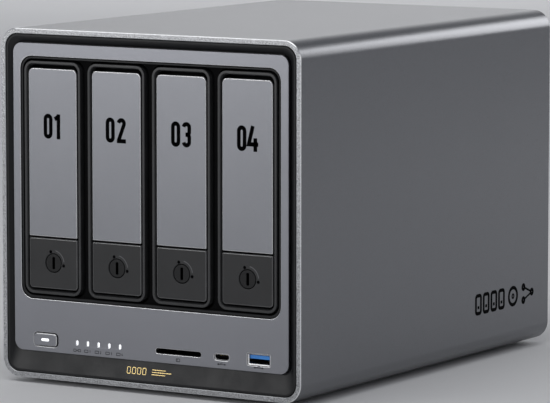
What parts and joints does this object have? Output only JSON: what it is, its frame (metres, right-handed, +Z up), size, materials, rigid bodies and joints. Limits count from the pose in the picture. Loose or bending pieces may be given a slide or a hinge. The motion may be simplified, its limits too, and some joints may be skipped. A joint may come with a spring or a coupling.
{
  "type": "nas enclosure",
  "caption": "Desktop network storage enclosure: aluminium sleeve, pull-out drive trays with flip-down-latch handles and key locks, front control strip, rear fan and socket row.",
  "frame": {"origin": "centre of the footprint, on the plane the rubber feet stand on", "axes": "+Z up, -Y out of the front with the trays, +X to the right of a person facing the front"},
  "size_m": [0.178, 0.258, 0.1805],
  "materials": {
    "sleeve_aluminium": "bead-blasted, dark grey anodised",
    "front_aluminium": "fine bead-blasted, grey anodised",
    "tray_aluminium": "fine bead-blasted, light grey anodised, polished edge",
    "heatsink_aluminium": "extruded, milled",
    "steel": "zinc-plated sheet",
    "rear_steel": "black powder coat",
    "black_plastic": "fine spark-eroded texture",
    "button_plastic": "satin",
    "rear_plastic": "satin",
    "fan_plastic": "satin",
    "circuit_board": "solder-masked fibreglass",
    "nickel": "nickel-plated",
    "usb_blue": "moulded",
    "clear_light": "frosted light pipe",
    "print_dark": "screen print",
    "print_gold": "hot-foil print",
    "rubber": "matte"
  },
  "bodies": {
    "case": {"outer_sleeve": "sleeve_aluminium", "base_cover": "steel", "foot_1": "rubber", "foot_2": "rubber", "foot_3": "rubber", "foot_4": "rubber", "front_frame": "black_plastic", "faceplate": "front_aluminium", "bay_surround": "black_plastic", "chassis_base": "steel", "cage_floor": "black_plastic", "cage_roof": "black_plastic", "cage_side_left": "steel", "cage_side_right": "steel", "cage_divider_1": "steel", "cage_divider_2": "steel", "cage_divider_3": "steel", "backplane_board": "circuit_board", "mainboard": "circuit_board", "cpu_heatsink": "heatsink_aluminium", "memory_module": "circuit_board", "front_io_board": "circuit_board", "sd_card_reader": "black_plastic", "usb_c_port": "nickel", "usb_a_port": "nickel", "status_light_pipes": "clear_light", "rear_panel": "rear_steel", "fan_frame": "fan_plastic", "lan_jacks": "nickel", "rear_usb_stack": "nickel", "hdmi_port": "nickel", "dc_inlet": "black_plastic", "sata_connector_1": "black_plastic", "sata_connector_2": "black_plastic", "sata_connector_3": "black_plastic", "sata_connector_4": "black_plastic"},
    "tray_1": {"tray_1_sled": "black_plastic"},
    "handle_1": {"tray_1_handle_cover": "tray_aluminium", "tray_1_handle_lever": "black_plastic"},
    "latch_1": {"tray_1_latch": "button_plastic"},
    "lock_1": {"tray_1_lock": "button_plastic"},
    "tray_2": {"tray_2_sled": "black_plastic"},
    "handle_2": {"tray_2_handle_cover": "tray_aluminium", "tray_2_handle_lever": "black_plastic"},
    "latch_2": {"tray_2_latch": "button_plastic"},
    "lock_2": {"tray_2_lock": "button_plastic"},
    "tray_3": {"tray_3_sled": "black_plastic"},
    "handle_3": {"tray_3_handle_cover": "tray_aluminium", "tray_3_handle_lever": "black_plastic"},
    "latch_3": {"tray_3_latch": "button_plastic"},
    "lock_3": {"tray_3_lock": "button_plastic"},
    "tray_4": {"tray_4_sled": "black_plastic"},
    "handle_4": {"tray_4_handle_cover": "tray_aluminium", "tray_4_handle_lever": "black_plastic"},
    "latch_4": {"tray_4_latch": "button_plastic"},
    "lock_4": {"tray_4_lock": "button_plastic"},
    "power_button": {"power_button": "front_aluminium"},
    "reset_button": {"reset_button": "button_plastic"},
    "fan_rotor": {"fan_rotor": "fan_plastic"},
    "dust_filter": {"dust_filter": "rear_plastic"}
  },
  "joints": [
    {"name": "bay_1_handle", "type": "hinge", "parent": "tray_1", "child": "handle_1", "pos_m": [-0.0579, -0.1244, 0.1572], "axis": [-1, 0, 0], "range_deg": [0, 70]},
    {"name": "bay_1_latch", "type": "slide", "parent": "tray_1", "child": "latch_1", "axis": [0, 1, 0], "range_m": [0, 0.0022], "stiffness_N_per_m": 900, "springref_m": -0.001},
    {"name": "bay_1_lock", "type": "hinge", "parent": "latch_1", "child": "lock_1", "pos_m": [-0.0579, -0.12, 0.0621], "axis": [0, 1, 0], "range_deg": [0, 90]},
    {"name": "bay_1_tray", "type": "slide", "parent": "case", "child": "tray_1", "axis": [0, -1, 0], "range_m": [0, 0.15]},
    {"name": "bay_2_handle", "type": "hinge", "parent": "tray_2", "child": "handle_2", "pos_m": [-0.0193, -0.1244, 0.1572], "axis": [-1, 0, 0], "range_deg": [0, 70]},
    {"name": "bay_2_latch", "type": "slide", "parent": "tray_2", "child": "latch_2", "axis": [0, 1, 0], "range_m": [0, 0.0022], "stiffness_N_per_m": 900, "springref_m": -0.001},
    {"name": "bay_2_lock", "type": "hinge", "parent": "latch_2", "child": "lock_2", "pos_m": [-0.0193, -0.12, 0.0621], "axis": [0, 1, 0], "range_deg": [0, 90]},
    {"name": "bay_2_tray", "type": "slide", "parent": "case", "child": "tray_2", "axis": [0, -1, 0], "range_m": [0, 0.15]},
    {"name": "bay_3_handle", "type": "hinge", "parent": "tray_3", "child": "handle_3", "pos_m": [0.0193, -0.1244, 0.1572], "axis": [-1, 0, 0], "range_deg": [0, 70]},
    {"name": "bay_3_latch", "type": "slide", "parent": "tray_3", "child": "latch_3", "axis": [0, 1, 0], "range_m": [0, 0.0022], "stiffness_N_per_m": 900, "springref_m": -0.001},
    {"name": "bay_3_lock", "type": "hinge", "parent": "latch_3", "child": "lock_3", "pos_m": [0.0193, -0.12, 0.0621], "axis": [0, 1, 0], "range_deg": [0, 90]},
    {"name": "bay_3_tray", "type": "slide", "parent": "case", "child": "tray_3", "axis": [0, -1, 0], "range_m": [0, 0.15]},
    {"name": "bay_4_handle", "type": "hinge", "parent": "tray_4", "child": "handle_4", "pos_m": [0.0579, -0.1244, 0.1572], "axis": [-1, 0, 0], "range_deg": [0, 70]},
    {"name": "bay_4_latch", "type": "slide", "parent": "tray_4", "child": "latch_4", "axis": [0, 1, 0], "range_m": [0, 0.0022], "stiffness_N_per_m": 900, "springref_m": -0.001},
    {"name": "bay_4_lock", "type": "hinge", "parent": "latch_4", "child": "lock_4", "pos_m": [0.0579, -0.12, 0.0621], "axis": [0, 1, 0], "range_deg": [0, 90]},
    {"name": "bay_4_tray", "type": "slide", "parent": "case", "child": "tray_4", "axis": [0, -1, 0], "range_m": [0, 0.15]},
    {"name": "dust_filter_pull", "type": "slide", "parent": "case", "child": "dust_filter", "axis": [0, 1, 0], "range_m": [0, 0.04]},
    {"name": "fan_spin", "type": "hinge", "parent": "case", "child": "fan_rotor", "pos_m": [0, 0.112, 0.104], "axis": [0, 1, 0], "continuous": true},
    {"name": "power_press", "type": "slide", "parent": "case", "child": "power_button", "axis": [0, 1, 0], "range_m": [0, 0.0008], "stiffness_N_per_m": 1500, "springref_m": -0.001},
    {"name": "reset_press", "type": "slide", "parent": "case", "child": "reset_button", "axis": [0, -1, 0], "range_m": [0, 0.0005], "stiffness_N_per_m": 1200, "springref_m": -0.0005}
  ]
}
